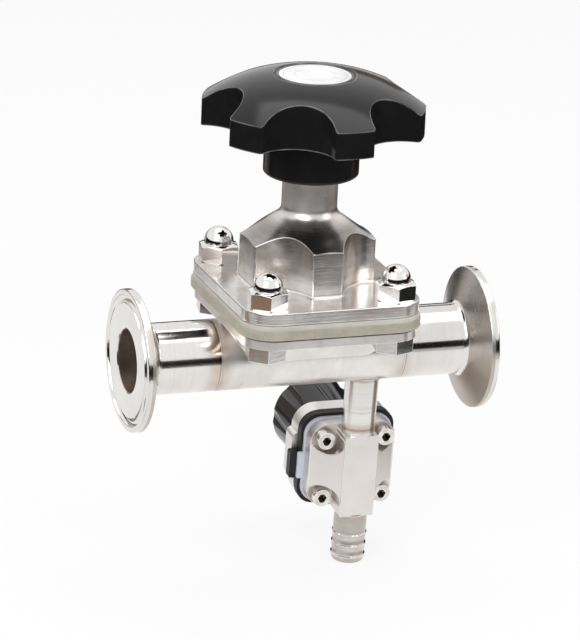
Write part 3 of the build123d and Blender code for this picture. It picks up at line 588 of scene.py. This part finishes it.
# The weld where the branch stub meets the run: a closed string of small uneven beads
beadLook = {"pitch": 0.00055, "radius": 0.00055, "smallest": 0.8, "largest": 1.15, "seed": 5, "steps": 72}
runRadius = -runLow.z
saddle = []
for step in range(beadLook["steps"]):
    angle = 2 * math.pi * step / beadLook["steps"]
    aside = stubRadius * math.sin(angle)
    depth = math.sqrt(runRadius ** 2 - aside ** 2)
    base = Vector((stubX + stubRadius * math.cos(angle), 0, 0))
    saddle.append(tuple(base + acrossStub * aside + downStub * depth))
beadTree = Grower("beadTree", [
    ("Pitch", "Float", beadLook["pitch"]), ("Radius", "Float", beadLook["radius"]),
    ("Smallest", "Float", beadLook["smallest"]), ("Largest", "Float", beadLook["largest"]),
    ("Seed", "Int", beadLook["seed"]),
])
beadCurve = beadTree.step("GeometryNodeMeshToCurve", None, {0: beadTree.given["Geometry"]})
beadPoints = beadTree.step(
    "GeometryNodeResampleCurve", {"mode": "LENGTH"}, {"Curve": beadCurve, "Length": beadTree.given["Pitch"]}
)
beadSize = beadTree.step("FunctionNodeRandomValue", {"data_type": "FLOAT"}, {
    2: beadTree.given["Smallest"], 3: beadTree.given["Largest"], "Seed": beadTree.given["Seed"],
}, 1)
oneBead = beadTree.step("GeometryNodeMeshIcoSphere", None, {
    "Radius": beadTree.given["Radius"], "Subdivisions": 2,
})
beads = beadTree.step("GeometryNodeInstanceOnPoints", None, {
    "Points": beadPoints, "Instance": oneBead, "Scale": beadSize,
})
smoothBeads = beadTree.step("GeometryNodeSetShadeSmooth", None, {0: beads})
beadTree.finish(smoothBeads, finishes["branch_stub"])
stubWeld = beadTree.grow("stubWeld", loopMesh("saddlePath", saddle), {"Radius": beadLook["radius"]})
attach(stubWeld, "valve_body")
print("stub weld:", len(stubWeld.data.polygons), "faces")


# Studio: a pale floor, three soft lamps, and a dark ring and cards that show only in reflections
stageLook = {
    "floorSize": 3.0, "floorColour": (0.86, 0.86, 0.86), "floorGlow": 0.86, "skyLight": 0.45,
    "keyPower": 9.0, "fillPower": 4.0, "topPower": 6.0,
    "ringRadius": 0.36, "ringTop": 0.148, "ringBelt": 0.040, "ringDark": 0.012,
    "beltColours": ((0.09, 0.07, 0.06), (0.26, 0.23, 0.21)),
    "ringStops": [(0.36, (0.01, 0.01, 0.01)), (0.44, (0.16, 0.12, 0.10)), (0.52, (0.55, 0.52, 0.50)),
                  (0.58, (0.10, 0.08, 0.07)), (0.66, (0.75, 0.74, 0.73))],
    "cards": [  # azimuth, distance, low, high, width, colour
        (96.0, 0.29, 0.0, 0.075, 0.035, (0.52, 0.31, 0.19)), (150.0, 0.33, 0.19, 0.25, 0.10, (0.16, 0.12, 0.10)),
        (207.0, 0.31, 0.04, 0.150, 0.15, (0.44, 0.40, 0.37)), (58.0, 0.30, 0.0, 0.07, 0.07, (0.02, 0.02, 0.02)),
        (-101.0, 0.30, 0.0, 0.055, 0.12, (0.62, 0.59, 0.56)), (33.0, 0.30, 0.0, 0.040, 0.11, (0.62, 0.60, 0.58)),
        (-58.0, 0.30, 0.0, 0.034, 0.05, (0.30, 0.20, 0.14)), (75.0, 0.34, 0.15, 0.24, 0.12, (0.50, 0.27, 0.13)),
        (-90.0, 0.125, 0.0, 0.022, 0.08, (0.28, 0.21, 0.17)), (90.0, 0.125, 0.0, 0.035, 0.08, (0.28, 0.21, 0.17)),
    ],
}
low, high = cadBox
middle = (low + high) / 2
white = (1.0, 1.0, 1.0, 1.0)


def lamp(name, offset, size, power):
    light = bpy.data.lights.new(name, "AREA")
    light.shape = "RECTANGLE"
    light.size, light.size_y = size
    light.energy = power
    holder = bpy.data.objects.new(name, light)
    holder.location = middle + Vector(offset)
    holder.rotation_euler = (-Vector(offset)).to_track_quat("-Z", "Y").to_euler()
    bpy.context.scene.collection.objects.link(holder)


lamp("keyLamp", (-0.7, -0.75, 0.75), (0.7, 0.9), stageLook["keyPower"])
lamp("fillLamp", (0.95, -0.6, 0.25), (0.5, 1.1), stageLook["fillPower"])
lamp("topLamp", (0.1, 0.15, 1.1), (1.1, 0.8), stageLook["topPower"])


def stageMesh(name, corners, faces, paint):
    mesh = bpy.data.meshes.new(name)
    mesh.from_pydata(corners, [], faces)
    mesh.materials.append(paint)
    made = bpy.data.objects.new(name, mesh)
    bpy.context.scene.collection.objects.link(made)


# The floor shows white to the camera and in reflections, and takes light as pale paint
floorBench = Bench(bpy.data.materials.new("floorPaint"))
seen = floorBench.rays("Is Camera Ray", "Is Glossy Ray", "Is Transmission Ray")
paint = floorBench.node("ShaderNodeBsdfDiffuse", None, {0: rgba(stageLook["floorColour"])})
glow = floorBench.node("ShaderNodeEmission", None, {0: white, 1: 1.0})
floorBench.close(floorBench.node("ShaderNodeMixShader", None, {0: seen * stageLook["floorGlow"], 1: paint, 2: glow}))
half = stageLook["floorSize"] / 2
stageMesh(
    "floor",
    [(middle.x + half * x, middle.y + half * y, low.z) for x, y in ((-1, -1), (1, -1), (1, 1), (-1, 1))],
    [(0, 1, 2, 3)], floorBench.owner,
)


# Dark and warm cards round the table: only reflections show them
def card(bench, tone):
    glowing = bench.node("ShaderNodeEmission", None, {0: tone, 1: 1.0})
    clear = bench.node("ShaderNodeBsdfTransparent")
    glossy = bench.rays("Is Glossy Ray")
    return bench.close(bench.node("ShaderNodeMixShader", None, {0: glossy, 1: clear, 2: glowing}))


# The ring: dark above, a broken brown belt below it, and patches of the room at its foot
def ringPaint():
    bench = Bench(bpy.data.materials.new("ringCard"))
    place = bench.place()
    uneven = bench.drawnNoise(place, (9.0, 9.0, 0.0), 4.0, 0.7)
    height = bench.split(place)[2] - low.z
    fall = bench.band(height, 0.004, 0.018) * 0.26
    room = bench.node("ShaderNodeValToRGB", {"stops": stageLook["ringStops"]}, {0: uneven - fall})
    belt = bench.mix(bench.band(uneven, 0.4, 0.6), *(rgba(colour) for colour in stageLook["beltColours"]))
    lower = bench.mix(bench.band(height, 0.020, 0.026), room, belt)
    return card(bench, bench.mix(height > stageLook["ringBelt"], lower, rgba((stageLook["ringDark"],) * 3)))


ringSteps = 96
ringCorners = []
for height in (0.001, stageLook["ringTop"]):
    for step in range(ringSteps):
        angle = 2 * math.pi * step / ringSteps
        ringCorners.append((
            middle.x + stageLook["ringRadius"] * math.cos(angle),
            middle.y + stageLook["ringRadius"] * math.sin(angle), low.z + height,
        ))
ringFaces = [
    (step, (step + 1) % ringSteps, ringSteps + (step + 1) % ringSteps, ringSteps + step) for step in range(ringSteps)
]
stageMesh("darkRing", ringCorners, ringFaces, ringPaint())
for number, (azimuth, distance, foot, head, width, colour) in enumerate(stageLook["cards"]):
    turnTo = math.radians(azimuth)
    out = Vector((math.sin(turnTo), -math.cos(turnTo), 0))
    along = Vector((math.cos(turnTo), math.sin(turnTo), 0)) * width / 2
    base = Vector((middle.x, middle.y, low.z)) + out * distance
    corners = [
        base + along * end + Vector((0, 0, height))
        for end, height in ((-1, foot), (1, foot), (1, head), (-1, head))
    ]
    paint = card(Bench(bpy.data.materials.new("cardPaint%d" % number)), rgba(colour))
    stageMesh("card%d" % number, corners, [(0, 1, 2, 3)], paint)
print("stage:", len(stageLook["cards"]), "cards and a ring")

# The sky: plain white wherever it is seen, dimmer as a light
sky = Bench(bpy.data.worlds.new("studio"))
bpy.context.scene.world = sky.owner
dim = sky.node("ShaderNodeBackground", None, {0: white, 1: stageLook["skyLight"]})
plain = sky.node("ShaderNodeBackground", None, {0: white, 1: 1.0})
seen = sky.rays("Is Camera Ray", "Is Transmission Ray", "Is Glossy Ray")
sky.close(sky.node("ShaderNodeMixShader", None, {0: seen, 1: dim, 2: plain}), "World")

# Camera at the set viewing angle
cameraLook = {
    "azimuth": -19.97, "elevation": 18.48, "roll": 2.6, "distance": 1.854, "lens": 296.4, "sensor": 36.0,
    "aim": (-0.0052, 0.0, 0.0109),  # from where the spindle's axis crosses the run's
}
spindleX = middleOf("main_spindle").x
turn, rise = math.radians(cameraLook["azimuth"]), math.radians(cameraLook["elevation"])
back = Vector((math.sin(turn) * math.cos(rise), -math.cos(turn) * math.cos(rise), math.sin(rise)))
side = Vector((math.cos(turn), math.sin(turn), 0))
upward = back.cross(side)
tilt = Matrix.Rotation(math.radians(cameraLook["roll"]), 4, back)
side, upward = tilt @ side, tilt @ upward
cameraData = bpy.data.cameras.new("camera")
cameraData.lens = cameraLook["lens"]
cameraData.sensor_width = cameraLook["sensor"]
cameraData.clip_end = 20.0
camera = bpy.data.objects.new("camera", cameraData)
aim = Vector(cameraLook["aim"]) + Vector((spindleX, 0, 0))
camera.matrix_world = Matrix.Translation(aim + back * cameraLook["distance"]) @ Matrix(
    (side, upward, back)
).transposed().to_4x4()
bpy.context.scene.collection.objects.link(camera)
bpy.context.scene.camera = camera
bpy.context.scene.view_settings.view_transform = "Standard"
print("camera set")
